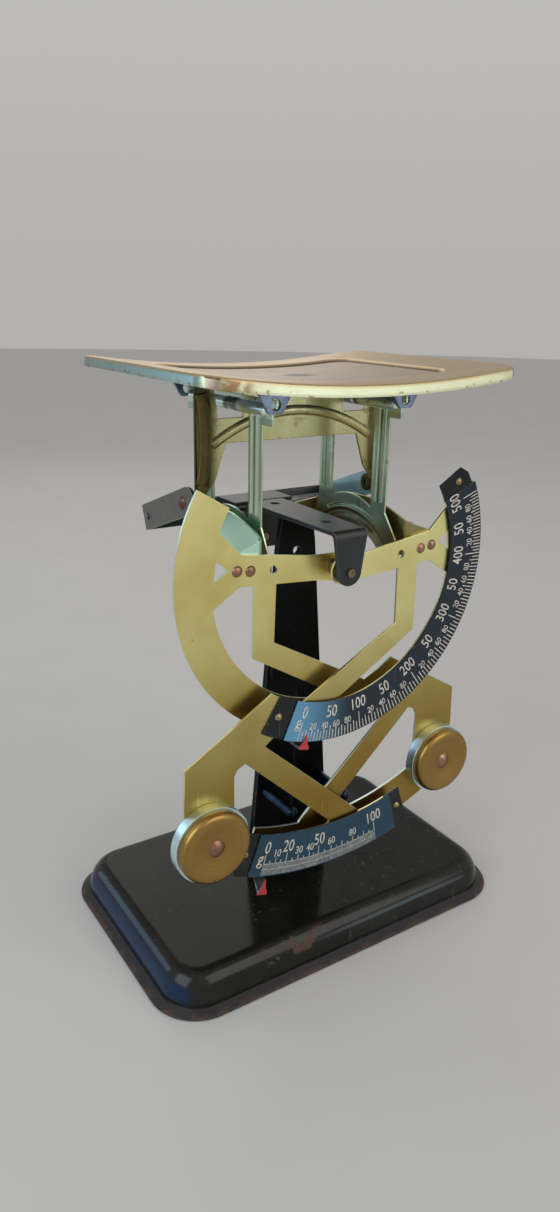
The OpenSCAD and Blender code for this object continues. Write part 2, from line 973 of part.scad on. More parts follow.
// Pressed ribs that rise from the plane x, two up each upright and two round the arch
module side_frame_ribs(x, s, mid, w, h) {
    for (side = [-1, 1], k = [-1, 1])
        translate([x, mid + side * (window_side + upright_w / 2) + k * 1.7, hump_z])
            rotate([0, 0, 90])
                linear_extrude(window_top - hump_z + 1)
                    rib_section(w, h, -s);
    for (r = [arch_r + 3, arch_r + 6.5])
        translate([x, mid, arch_z - arch_r])
            rotate([90, 0, 90])
                rib_arc(r, 90 - asin((window_side + 2) / r), 90 + asin((window_side + 2) / r), w, h, s);
}

module side_frame(s, mid, ears, tips) {
    outer_face = s * (frame_x + frame_t / 2);
    inner_face = s * (frame_x - frame_t / 2);
    color("#a9a86a") {
        difference() {
            union() {
                sheet_yz(s * frame_x - frame_t / 2, frame_t)
                    side_frame_outline(mid, ears, tips);
                side_frame_ribs(outer_face, s, mid, frame_rib_w, frame_rib_h);
            }
            side_frame_ribs(inner_face, s, mid, groove_w, groove_depth);
        }
        translate([s * frame_x, 0, barrel_z]) {
            bar_y(barrel_d, ears[0] + 5, ears[1] - 5);
            for (y = [ears[0] + 5, ears[1] - 5])
                translate([0, y, 0])
                    sphere(d = barrel_d);
        }
    }
}

module left_side_frame() {
    side_frame(-1, left_mid, left_ears, left_tips);
}

module right_side_frame() {
    side_frame(1, right_mid, right_ears, right_tips);
}

// Arch frame

module arch_half() {
    polygon([[-1, arch_top], [notch[0], arch_top], [notch[0], notch_z], [notch[1], notch_z],
        [31.5, arch_top], [leg_x, arch_top], [leg_x, foot_z + 2], [35, foot_z + 2.8],
        [31, foot_z + 7.8], [27, foot_z + 19.8], [-1, foot_z + 19.8]]);
}

// Pressed ribs: one across under the arch's top and one down each leg, which meet
module arch_ribs() {
    translate([0, arch_y, cross_rib_z])
        rotate([90, 0, 0])
            rib_arc(cross_rib_r, 90 - cross_rib_half, 90 + cross_rib_half, cross_rib[0], cross_rib[1]);
    for (s = [-1, 1])
        translate([s * leg_rib_x, arch_y, leg_rib_z])
            rotate([90, 0, 0])
                rib_arc(leg_rib_r, 90 + s * 90 - leg_rib_half, 90 + s * 90 + leg_rib_half, leg_rib[0],
                    leg_rib[1]);
}

module arch_frame() {
    color("#9c8c4c") {
        sheet_xz(arch_y, arch_t) {
            arch_half();
            mirror([1, 0])
                arch_half();
        }
        arch_ribs();
        for (s = [-1, 1])
            translate([s > 0 ? foot_x : -foot_x - arch_t, 0, 0])
                arch_foot();
    }
}

// The leg's end, turned to face the swing frame's arm
module arch_foot() {
    difference() {
        sheet_yz(0, arch_t) {
            translate([foot_y, foot_z])
                circle(3.4);
            translate([arch_y, foot_z])
                square([foot_y - arch_y, 4.5]);
        }
        translate([-1, foot_y, foot_z])
            rotate([0, 90, 0])
                cylinder(d = foot_hole_d, h = arch_t + 2);
    }
}

// Pan

// A sheet bent like the pan: from d to d + t below the pan's upper face
module bent_sheet(d, t) {
    translate([0, pan_y, pan_top + pan_bend_r])
        rotate([90, 0, 0])
            linear_extrude(2 * pan_w, center = true)
                intersection() {
                    difference() {
                        circle(pan_bend_r + d + t, $fn = 720);
                        circle(pan_bend_r + d, $fn = 720);
                    }
                    translate([-pan_l, -pan_bend_r - 20])
                        square([2 * pan_l, 60]);
                }
}

module pan_column(l, w, r) {
    translate([0, pan_y, pan_top - 20])
        linear_extrude(60)
            rounded_rect(l, w, r);
}

module pan() {
    wall = 2 * pan_t;
    color("#cdbb7a") {
        intersection() {
            bent_sheet(0, pan_t);
            difference() {
                pan_column(pan_l, pan_w, pan_r);
                pan_column(recess[0], recess[1], recess_r);
            }
        }
        intersection() {
            bent_sheet(recess_d, pan_t);
            pan_column(recess[0] + wall, recess[1] + wall, recess_r + pan_t);
        }
        intersection() {
            bent_sheet(0, recess_d + pan_t);
            difference() {
                pan_column(recess[0] + wall, recess[1] + wall, recess_r + pan_t);
                pan_column(recess[0], recess[1], recess_r);
            }
        }
        intersection() {
            bent_sheet(0, pan_rim);
            difference() {
                pan_column(pan_l, pan_w, pan_r);
                pan_column(pan_l - wall, pan_w - wall, pan_r - pan_t);
            }
        }
    }
}

module pan_bracket() {
    reach = 6.5;
    color("#aab2c4") {
        intersection() {
            bent_sheet(bracket_under, bracket_plate_t);
            translate([0, 0, pan_top - 20])
                linear_extrude(60) {
                    translate([-frame_x - reach, left_ears[0] - ear_t / 2])
                        square([frame_x + reach + 1, left_ears[1] - left_ears[0] + ear_t]);
                    translate([0, right_ears[0] - ear_t / 2])
                        square([frame_x + reach, right_ears[1] - right_ears[0] + ear_t]);
                    translate([-38.4, arch_y - 3])
                        square([76.8, 6 + arch_t]);
                }
        }
        for (y = left_ears)
            ear(-frame_x, y);
        for (y = right_ears)
            ear(frame_x, y);
    }
}

module ear(x, y) {
    difference() {
        intersection() {
            sheet_xz(y - ear_t / 2, ear_t)
                translate([x, hinge_z])
                    polygon([[-5.9, 2.9], [-3, -2.2], [-2.2, -2.9], [2.2, -2.9], [3, -2.2], [5.9, 2.9],
                        [6.5, 8], [-6.5, 8]]);
            bent_sheet(bracket_under, 12);
        }
        translate([x, 0, hinge_z])
            bar_y(ear_hole_d, y - 2, y + 2);
    }
}

base_shell();
column();
column_rivets();
top_bracket();
front_fulcrum_pin();
rear_fulcrum_pin();
guard_pins();
swing_shaft();
swing_frame();
swing_rivets();
scale_plate();
scale_stirrup();
scale_rivets();
scale_weight_disc();
scale_weight_cap();
scale_weight_rivet();
upper_scale();
lower_scale();
scale_screws();
pointer_plate();
pointer_stirrup();
pointer_rivets();
pointer_weight_disc();
pointer_weight_cap();
pointer_weight_rivet();
upper_pointer();
lower_pointer();
left_side_frame();
right_side_frame();
arch_frame();
pan_bracket();
pan();
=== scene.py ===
import json
import math

import bpy
from mathutils import Matrix, Vector


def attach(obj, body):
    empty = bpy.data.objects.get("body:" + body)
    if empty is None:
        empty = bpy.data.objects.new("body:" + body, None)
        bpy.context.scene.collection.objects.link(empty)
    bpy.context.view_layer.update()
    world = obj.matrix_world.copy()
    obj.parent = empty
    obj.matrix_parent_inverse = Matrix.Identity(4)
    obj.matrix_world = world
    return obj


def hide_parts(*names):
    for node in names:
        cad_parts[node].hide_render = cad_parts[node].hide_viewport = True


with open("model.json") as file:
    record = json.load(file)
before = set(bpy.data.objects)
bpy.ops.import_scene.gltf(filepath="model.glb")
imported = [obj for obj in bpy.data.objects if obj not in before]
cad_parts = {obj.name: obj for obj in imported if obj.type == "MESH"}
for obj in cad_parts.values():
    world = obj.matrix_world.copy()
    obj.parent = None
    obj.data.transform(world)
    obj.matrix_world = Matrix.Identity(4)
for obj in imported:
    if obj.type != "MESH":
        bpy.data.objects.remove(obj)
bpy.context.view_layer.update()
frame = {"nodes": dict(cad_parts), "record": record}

MM = 0.001
PER_METRE = 1000.0
ORIGIN = (0.0, 0.0, 0.0)

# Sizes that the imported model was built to, in millimetres
FULCRUM_Z = 142.3
SCALE_Y = -30.25
LAYER_STEP = 5.35
STRIP_FRONT_Y = -31.6
PAN_L = 119.0
PAN_W = 95.0
PAN_Y = 1.5
PAN_TOP_Z = 203.8
PAN_RIM = 3.6
PAN_BEND_R = 413.8
PAN_SHEET = 0.9
PAN_CORNER_R = 10.0
RECESS_L = 85.2
RECESS_W = 65.2
RECESS_D = 1.1
WEIGHT_AT = (52.3, 86.0)
DISC_T = 4.0
SWING_OUTER = 40.5
SWING_INNER = 39.3
BARREL_AT = (24.5, 194.5)
BARREL_R = 2.6
BASE_H = 12.8
BASE_LIP_H = 2.0
FRAME_RIBS = 15.8
RIGHT_FRAME_Y = -0.3
LEFT_FRAME_SHIFT = 3.0
FRAME_SHOULDER_Z = 160.0
ARC_CENTRE_Z = 124.0
ARC_VALLEY_R = 30.2
PLATE_TOP_Z = 158.0
PLATE_FOOT_Z = 56.0
BETWEEN_STRIPS_Z = 65.0

# The photograph's view
CAMERA_AT = Vector((-170.10, -251.16, 226.35)) * MM
AZIMUTH = math.radians(33.242)
ELEVATION = math.radians(19.239)
ROLL = math.radians(1.153)
FOCAL_PX = 873.67
PHOTO_HEIGHT_PX = 1212
SENSOR = 36.0


# Selecting and finishing pieces

def select_only(*pieces):
    """Leaves only these objects selected, the last of them active."""
    bpy.ops.object.select_all(action="DESELECT")
    for piece in pieces:
        piece.select_set(True)
    bpy.context.view_layer.objects.active = pieces[-1]


def settle(piece):
    """Puts a piece's place, turn and scale into its mesh."""
    select_only(piece)
    bpy.ops.object.transform_apply(location=True, rotation=True, scale=True)


def apply_modifiers(piece):
    select_only(piece)
    for modifier in list(piece.modifiers):
        bpy.ops.object.modifier_apply(modifier=modifier.name)


def smooth(piece, angle=35.0):
    select_only(piece)
    bpy.ops.object.shade_smooth_by_angle(angle=math.radians(angle))


def edit(piece, select="SELECT"):
    select_only(piece)
    bpy.ops.object.mode_set(mode="EDIT")
    bpy.ops.mesh.select_all(action=select)


def leave_edit():
    bpy.ops.object.mode_set(mode="OBJECT")


def recalculate_normals(piece):
    edit(piece)
    bpy.ops.mesh.remove_doubles(threshold=0.002 * MM)
    bpy.ops.mesh.normals_make_consistent(inside=False)
    leave_edit()


def name_piece(piece, name):
    piece.name = name
    piece.data.name = name
    return piece


def dress(piece, body, finish):
    """Gives a piece its material and lets it ride on a body."""
    piece.data.materials.clear()
    piece.data.materials.append(finish)
    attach(piece, body)


def joined(pieces, name):
    """One object out of several."""
    select_only(*pieces)
    if len(pieces) > 1:
        bpy.ops.object.join()
    piece = bpy.context.view_layer.objects.active
    settle(piece)
    return name_piece(piece, name)


def copied(piece, place):
    """A copy of a piece with its own mesh, at a place given as a matrix."""
    twin = piece.copy()
    twin.data = piece.data.copy()
    bpy.context.scene.collection.objects.link(twin)
    twin.matrix_world = place
    return twin


def removed(piece):
    bpy.data.objects.remove(piece, do_unlink=True)


def rounded_copy(node, width, thin_axis=None, segments=2, angle=28.0):
    """A copy of a CAD node with its edges rounded. Its edge attribute is 1 on the roundings.

    Its cut attribute is 1 on the faces round the sheet, where thin_axis says how the sheet lies.
    """
    piece = copied(frame["nodes"][node], Matrix.Identity(4))
    piece.parent = None
    piece.matrix_world = Matrix.Identity(4)
    for key in list(piece.keys()):
        del piece[key]
    name_piece(piece, node + "_rounded")
    mesh = piece.data
    mesh.materials.clear()
    edit(piece)
    bpy.ops.mesh.remove_doubles(threshold=0.003 * MM)
    bpy.ops.mesh.dissolve_limited(angle_limit=math.radians(0.6), use_dissolve_boundaries=False)
    bpy.ops.mesh.normals_make_consistent(inside=False)
    leave_edit()
    if mesh.has_custom_normals:
        bpy.ops.mesh.customdata_custom_splitnormals_clear()
    for _ in range(2):
        mesh.materials.append(None)
    bevel = piece.modifiers.new("rounding", "BEVEL")
    bevel.width = width * MM
    bevel.segments = segments
    bevel.limit_method = "ANGLE"
    bevel.angle_limit = math.radians(angle)
    bevel.use_clamp_overlap = False
    bevel.material = 1
    apply_modifiers(piece)
    edge = mesh.attributes.new("edge", "FLOAT", "FACE")
    cut = mesh.attributes.new("cut", "FLOAT", "FACE")
    for face in mesh.polygons:
        edge.data[face.index].value = float(face.material_index == 1)
        cut.data[face.index].value = float(thin_axis is not None and abs(face.normal[thin_axis]) < 0.5)
        face.material_index = 0
    mesh.materials.clear()
    smooth(piece, 40.0)
    weights = piece.modifiers.new("flat_faces", "WEIGHTED_NORMAL")
    weights.keep_sharp = True
    apply_modifiers(piece)
    return piece


# Shader maths

class Signal:
    """A shader socket. Sums and products of number sockets add Math nodes."""

    def __init__(self, paint, socket):
        self.paint = paint
        self.socket = socket

    def math(self, operation, *values):
        return self.paint.node("Math", values, operation=operation)

    def __add__(self, other):
        return self.math("ADD", self, other)

    def __radd__(self, other):
        return self.math("ADD", other, self)

    def __sub__(self, other):
        return self.math("SUBTRACT", self, other)

    def __rsub__(self, other):
        return self.math("SUBTRACT", other, self)

    def __mul__(self, other):
        return self.math("MULTIPLY", self, other)

    def __rmul__(self, other):
        return self.math("MULTIPLY", other, self)

    def __truediv__(self, other):
        return self.math("DIVIDE", self, other)

    def __pow__(self, other):
        return self.math("POWER", self, other)

    def __abs__(self):
        return self.math("ABSOLUTE", self)

    def most(self, other):
        return self.math("MAXIMUM", self, other)

    def step(self, low, high):
        """0 below low, 1 above high, smooth between them. With low above high it falls."""
        values = {"Value": self, "From Min": low, "From Max": high}
        return self.paint.node("MapRange", values, interpolation_type="SMOOTHSTEP")


class Paint:
    """A material. Every node but Principled and the output is made by node()."""

    def __init__(self, name):
        self.material = bpy.data.materials.new(name)
        self.material.use_nodes = True
        self.tree = self.material.node_tree
        self.tree.nodes.clear()
        self.shader = self.tree.nodes.new("ShaderNodeBsdfPrincipled")
        output = self.tree.nodes.new("ShaderNodeOutputMaterial")
        self.tree.links.new(self.shader.outputs[0], output.inputs[0])
        self.place = self.node("TexCoord", output="Object")

    def feed(self, socket, value):
        if isinstance(value, Signal):
            self.tree.links.new(value.socket, socket)
        else:
            socket.default_value = value

    def node(self, kind, inputs=(), output=0, **settings):
        """Adds a node: its settings first, then its sockets by name or number."""
        made = self.tree.nodes.new("ShaderNode" + kind)
        for name, value in settings.items():
            setattr(made, name, value)
        pairs = inputs.items() if isinstance(inputs, dict) else enumerate(inputs)
        for key, value in pairs:
            self.feed(made.inputs[key], value)
        return Signal(self, made.outputs[output])

    def axis(self, number):
        """One object coordinate, in millimetres."""
        return self.node("SeparateXYZ", (self.place,), output=number) * PER_METRE

    def axes(self):
        """The three object coordinates, in millimetres."""
        return [self.axis(number) for number in range(3)]

    def noise(self, size, detail=2.0, stretch=(1.0, 1.0, 1.0), turn=(0.0, 0.0, 0.0)):
        """Noise from 0 to 1 whose features are about size millimetres across."""
        place = self.node("Mapping", {"Vector": self.place, "Rotation": turn, "Scale": stretch})
        return self.node("TexNoise", {"Vector": place, "Scale": PER_METRE / size, "Detail": detail})

    def specks(self, spacing, share):
        """Round specks: one in a cell of spacing millimetres, share of a cell across."""
        away = self.node("TexVoronoi", {"Vector": self.place, "Scale": PER_METRE / spacing})
        return away.step(share * 0.5, share * 0.3)

    def scratches(self, size, turn, depth=0.66):
        """Thin straight lines, about size millimetres apart."""
        lines = self.noise(size, 1.0, (1.0, 1.0, 0.035), turn)
        patches = self.noise(size * 9.0, 1.0)
        return lines.step(depth, depth + 0.05) * patches.step(0.45, 0.6)

    def edge(self, kind="edge"):
        return self.node("Attribute", output="Fac", attribute_name=kind)

    def mix(self, share, first, second):
        """A colour between two others."""
        values = {0: share, 6: opaque(first), 7: opaque(second)}
        return self.node("Mix", values, output=2, data_type="RGBA", clamp_factor=True)

    def finish(self, color, roughness, metallic=0.0, height=None, relief=0.02, strength=0.4, **constants):
        self.feed(self.shader.inputs["Base Color"], opaque(color))
        self.feed(self.shader.inputs["Roughness"], roughness)
        self.feed(self.shader.inputs["Metallic"], metallic)
        if height is not None:
            values = {"Strength": strength, "Distance": relief * MM, "Height": height}
            self.feed(self.shader.inputs["Normal"], self.node("Bump", values))
        for name, value in constants.items():
            self.feed(self.shader.inputs[name.replace("_", " ")], value)
        return self.material


def opaque(color):
    return color if isinstance(color, Signal) else (*color, 1.0)


# Materials. The limits given to step are those of a noise, or places in millimetres.

BRIGHT_BRASS = (0.92, 0.84, 0.38)
DEEP_BRASS = (0.74, 0.62, 0.22)
# A dark brown brass tone, painted toward the plates' feet as shade
FOOT_SHADE_BRASS = (0.31, 0.19, 0.03)
BROWN = (0.09, 0.05, 0.025)
RUST = (0.16, 0.075, 0.035)

# Where the base is worn, and where light is painted: the middle of the chips as X and Z, the height of the
# painted blue highlight, its worn corners
CHIPS_AT = (-22.0, 9.6)
PAINTED_HIGHLIGHT_Z = 6.6
BASE_CORNER_X = 64.0

# The pan's dark spot, and the brown stain at its front left corner
SPOT_AT = (2.0, 2.0)
SPOT_R = (9.0, 7.0)
STAIN_X = -52.0


def plate_brass(name, bright, deep, cut_highlight_tone, gloss=0.27):
    """Lacquered sheet brass, darker toward its foot as painted shade: clouds, fine scratches, dark specks,
    cut edges painted pale as a highlight.
    """
    paint = Paint(name)
    z = paint.axis(2)
    clouds = paint.noise(26.0, 3.0)
    mottle = paint.noise(5.0, 4.0)
    grain = paint.noise(0.35, 2.0)
    scratches = paint.scratches(0.7, (0.0, 0.6, 0.0), 0.7).most(paint.scratches(0.8, (0.0, -0.9, 0.0), 0.7))
    specks = paint.specks(6.5, 0.10) * mottle.step(0.44, 0.56)
    dots = paint.specks(2.1, 0.12) * mottle.step(0.58, 0.66)
    dark = specks.most(dots * 0.7)
    edge = paint.edge() * mottle.step(0.3, 0.6)
    # Painted shade: the plate darkens toward its foot
    low = z.step(PLATE_TOP_Z, PLATE_FOOT_Z)
    color = paint.mix(clouds.step(0.35, 0.7) * 0.7 + mottle * 0.3, bright, deep)
    color = paint.mix(low * 0.92 + (clouds - 0.5) * 0.25, color, FOOT_SHADE_BRASS)
    color = paint.mix(scratches * 0.16, color, bright)
    color = paint.mix(edge * 0.35, color, bright)
    # Painted highlight: the cut edges are lit pale, teal-white on the pointer plate
    color = paint.mix(paint.edge("cut") * 0.8, color, cut_highlight_tone)
    color = paint.mix(dark * 0.8, color, BROWN)
    roughness = gloss + 0.1 * mottle + 0.06 * grain + 0.3 * dark - 0.06 * edge
    height = grain * 0.35 - scratches * 0.4 - dark * 0.6 + mottle * 0.5
    return paint.finish(color, roughness, 1.0 - 0.5 * dark, height, 0.012, 0.35)


def ribbed_brass(name, bright, deep, edge_tone, low, leg_shade=0.0, valley_shade=0.0):
    """Stamped brass in the tones it is given, brown at its foot and along its cut edges.

    Legs can be painted darker as shade, and so can the hollows between the side frames' ribs. The barrel
    under the pan is brighter, with a dark mark painted as shade where the arch frame crosses it.
    """
    paint = Paint(name)
    x, y, z = paint.axes()
    low = z.step(*low)
    # Painted shade: the legs are darkened as if shaded
    shaded_leg = abs(x).step(30.0, 34.0) * leg_shade
    across = (abs(x) - BARREL_AT[0]) ** 2.0 + (z - BARREL_AT[1]) ** 2.0
    barrel = (across ** 0.5).step(BARREL_R, BARREL_R - 0.3)
    aside = abs(y - RIGHT_FRAME_Y - LEFT_FRAME_SHIFT * x.step(10.0, -10.0))
    shoulder = z.step(FRAME_SHOULDER_Z - 1.0, FRAME_SHOULDER_Z + 1.0)
    upright = abs(aside - FRAME_RIBS).step(0.75, 0.3) * shoulder
    arc = abs((aside ** 2.0 + (z - ARC_CENTRE_Z) ** 2.0) ** 0.5 - ARC_VALLEY_R).step(0.75, 0.3)
    # Painted shade: the hollows between the side frames' ribs are darkened
    painted_valley_shade = upright.most(arc * (1.0 - shoulder)) * (1.0 - barrel) * valley_shade
    clouds = paint.noise(9.0, 3.0)
    streaks = paint.noise(2.6, 3.0, (1.0, 1.0, 0.12))
    grain = paint.noise(0.3, 2.0)
    stains = paint.noise(3.4, 4.0)
    stain = stains.step(0.60, 0.70)
    specks = paint.specks(3.2, 0.12) * clouds.step(0.48, 0.6)
    edge = paint.edge() * (1.0 - shaded_leg)
    # Painted shade: a dark mark on the barrel where the arch frame crosses it
    crossing_shade = abs(y - 0.5).step(6.0, 3.0) * barrel * stains.step(0.3, 0.5)
    color = paint.mix(clouds * 0.6 + streaks * 0.5, bright, deep)
    color = paint.mix(low * 0.8, color, (0.24, 0.16, 0.06))
    color = paint.mix(painted_valley_shade, color, (0.14, 0.11, 0.05))
    color = paint.mix(shaded_leg, color, (0.09, 0.07, 0.025))
    color = paint.mix(edge * 0.45, color, edge_tone)
    color = paint.mix(barrel * 0.7, color, (0.78, 0.95, 0.88))
    color = paint.mix(crossing_shade * 0.9, color, (0.07, 0.055, 0.03))
    color = paint.mix(stain * 0.5, color, (0.2, 0.13, 0.05))
    color = paint.mix(specks * 0.8, color, BROWN)
    roughness = 0.2 + 0.12 * streaks + 0.1 * stain + 0.06 * grain + 0.25 * specks
    height = grain * 0.3 + streaks * 0.3 - specks * 0.5
    return paint.finish(color, roughness, 1.0 - 0.45 * specks, height, 0.014, 0.35)


def enamel(name, color, gloss, shine, chips=0.0, tint=(0.012, 0.018, 0.026)):
    """Black stove enamel: orange peel, dust, fine scratches, brown where it is rubbed through, and a blue
    reflection painted on its rounded edges.
    """
    paint = Paint(name)
    clouds = paint.noise(30.0, 3.0)
    peel = paint.noise(2.4, 2.0)
    dust = paint.specks(7.0, 0.045) * paint.noise(9.0, 2.0).step(0.46, 0.6)
    scratches = paint.scratches(1.9, (0.3, 0.5, 1.1), 0.68)
    rub = paint.edge() * paint.noise(3.2, 4.0).step(0.56 - chips, 0.68 - chips)
    tone = paint.mix(clouds.step(0.4, 0.7), color, tint)
    tone = paint.mix(scratches * 0.25, tone, (0.12, 0.11, 0.1))
    tone = paint.mix(dust * 0.7, tone, (0.3, 0.29, 0.27))
    # Painted reflection: the rounded edges are tinted blue
    tone = paint.mix(paint.edge() * 0.5, tone, (0.045, 0.07, 0.11))
    tone = paint.mix(rub, tone, RUST)
    roughness = gloss + 0.07 * clouds + 0.2 * scratches + 0.4 * rub + 0.3 * dust
    height = peel * 0.6 - scratches * 0.25 - rub * 0.9
    return paint.finish(tone, roughness, 0.0, height, 0.02, 0.25, Specular_IOR_Level=shine)


def base_enamel():
    """The base's enamel, with a rusty lip, chips on the front shoulder and a blue highlight painted along its
    left wall.
    """
    paint = Paint("base_enamel_worn")
    x, y, z = paint.axes()
    clouds = paint.noise(34.0, 3.0)
    peel = paint.noise(3.0, 2.0)
    fine = paint.noise(1.1, 4.0)
    patches = paint.noise(6.0, 4.0)
    smear = paint.noise(14.0, 3.0, (1.0, 0.35, 1.0))
    dust = paint.specks(6.0, 0.05) * clouds.step(0.44, 0.56)
    scratches = paint.scratches(2.2, (0.2, 0.3, 0.8), 0.69)
    lip = z.step(BASE_LIP_H + 0.1, BASE_LIP_H - 0.1)
    worn_lip = z.step(1.7, 0.8) * patches.step(0.42, 0.62) * 0.8
    low_wall = z.step(4.0, 2.2) * fine.step(0.62, 0.72) * (1.0 - lip)
    wall = z.step(2.6, 4.2) * z.step(BASE_H - 0.1, BASE_H - 1.5)
    # Painted highlight: a blue band along the left wall stands in for window light
    painted_blue_highlight = x.step(-64.0, -68.0) * abs(z - PAINTED_HIGHLIGHT_Z).step(4.8, 0.8)
    front = y.step(-37.8, -38.8)
    along = abs(x - CHIPS_AT[0]).step(19.0, 9.0)
    upper_half = abs(z - CHIPS_AT[1]).step(3.0, 1.6)
    chips = front * along * upper_half * patches.step(0.53, 0.58) * 0.9
    corner = abs(abs(x) - BASE_CORNER_X).step(9.0, 3.0) * z.step(6.0, 10.0) * fine.step(0.65, 0.72)
    rust = worn_lip.most(low_wall * 0.8).most(chips).most(corner * 0.7)
    tone = paint.mix(clouds.step(0.4, 0.7), (0.006, 0.006, 0.005), (0.012, 0.012, 0.010))
    tone = paint.mix(smear.step(0.5, 0.75) * 0.5, tone, (0.022, 0.020, 0.016))
    tone = paint.mix(painted_blue_highlight, tone, (0.003, 0.020, 0.060))
    tone = paint.mix(lip * 0.8, tone, (0.042, 0.038, 0.040))
    tone = paint.mix(scratches * 0.3, tone, (0.11, 0.10, 0.09))
    tone = paint.mix(dust * 0.7, tone, (0.34, 0.32, 0.3))
    tone = paint.mix(rust, tone, paint.mix(fine, (0.12, 0.07, 0.045), (0.05, 0.035, 0.028)))
    roughness = 0.1 + 0.1 * smear + 0.2 * scratches + 0.45 * rust + 0.3 * dust
    height = peel * 0.5 - rust * (0.7 + fine) - scratches * 0.2
    paint.feed(paint.shader.inputs["Coat Weight"], wall * (1.0 - rust) * 0.3)
    return paint.finish(tone, roughness, 0.0, height, 0.03, 0.3, Specular_IOR_Level=0.14, Coat_Roughness=0.14)


def swing_steel():
    """Blackened strip, rubbed grey on the outer faces of its arms, with a pale blue reflection painted on the
    inner faces.
    """
    paint = Paint("swing_blackened")
    x = paint.axis(0)
    clouds = paint.noise(7.0, 4.0)
    grain = paint.noise(0.5, 3.0, (1.0, 0.25, 1.0))
    specks = paint.specks(2.6, 0.14) * clouds.step(0.5, 0.6)
    outer = abs(x).step(SWING_OUTER - 0.3, SWING_OUTER - 0.1)
    # Painted reflection: the inner faces of the arms are tinted pale blue
    inner = abs(x).step(SWING_INNER - 0.4, SWING_INNER - 0.1)
    inner = inner * abs(x).step(SWING_INNER + 0.3, SWING_INNER + 0.1)
    edge = paint.edge() * clouds.step(0.35, 0.6)
    grey = paint.mix(clouds, (0.24, 0.235, 0.21), (0.15, 0.145, 0.13))
    black = paint.mix(clouds, (0.012, 0.016, 0.022), (0.03, 0.038, 0.048))
    tone = paint.mix(outer, black, grey)
    tone = paint.mix(inner, tone, paint.mix(clouds, (0.48, 0.74, 0.80), (0.36, 0.56, 0.62)))
    tone = paint.mix(edge * 0.7, tone, (0.3, 0.28, 0.24))
    tone = paint.mix(specks * 0.8, tone, BROWN)
    roughness = 0.2 + outer * 0.14 + 0.08 * grain + 0.2 * specks
    metallic = (outer * 0.95).most(edge * 0.8).most(inner * 0.7)
    return paint.finish(tone, roughness, metallic, grain - specks * 0.6, 0.012, 0.3, Specular_IOR_Level=0.3)


def bare_metal(name, bright, deep, gloss, tarnish=BROWN):
    """Plated or bare metal with clouds, grain and small stains."""
    paint = Paint(name)
    clouds = paint.noise(5.0, 4.0)
    grain = paint.noise(0.25, 2.0)
    stain = paint.noise(1.7, 4.0).step(0.62, 0.74)
    edge = paint.edge() * clouds.step(0.3, 0.55)
    color = paint.mix(clouds.step(0.3, 0.7), bright, deep)
    color = paint.mix(stain * 0.6, color, tarnish)
    color = paint.mix(edge * 0.5, color, bright)
    roughness = gloss + 0.12 * clouds + 0.05 * grain + 0.25 * stain
    return paint.finish(color, roughness, 1.0 - 0.35 * stain, grain - stain * 0.5, 0.012, 0.35)


def turned_metal(name, bright, deep, side, gloss):
    """Metal turned on a lathe: rings about the weight's axis, and a browner rim."""
    paint = Paint(name)
    x = paint.axis(0)
    z = paint.axis(2)
    across = (abs(x) - WEIGHT_AT[0]) ** 2.0 + (z - (FULCRUM_Z - WEIGHT_AT[1])) ** 2.0
    radius = across ** 0.5
    rings = paint.node("TexNoise", {"W": radius, "Scale": 3.2, "Detail": 3.0}, noise_dimensions="1D")
    fine = paint.node("TexNoise", {"W": radius, "Scale": 11.0, "Detail": 2.0}, noise_dimensions="1D")
    clouds = paint.noise(6.0, 4.0)
    specks = paint.specks(3.4, 0.09) * clouds.step(0.46, 0.6)
    rim = radius.step(10.5, 12.9)
    color = paint.mix(rings.step(0.35, 0.65) * 0.6 + clouds * 0.35, bright, deep)
    color = paint.mix(rim * 0.55, color, side)
    color = paint.mix(radius.step(6.0, 2.6) * 0.35, color, deep)
    color = paint.mix(specks * 0.8, color, BROWN)
    roughness = gloss + 0.12 * clouds + 0.1 * rings + 0.25 * specks
    return paint.finish(color, roughness, 1.0 - 0.4 * specks, rings * 0.5 + fine * 0.4, 0.012, 0.4)


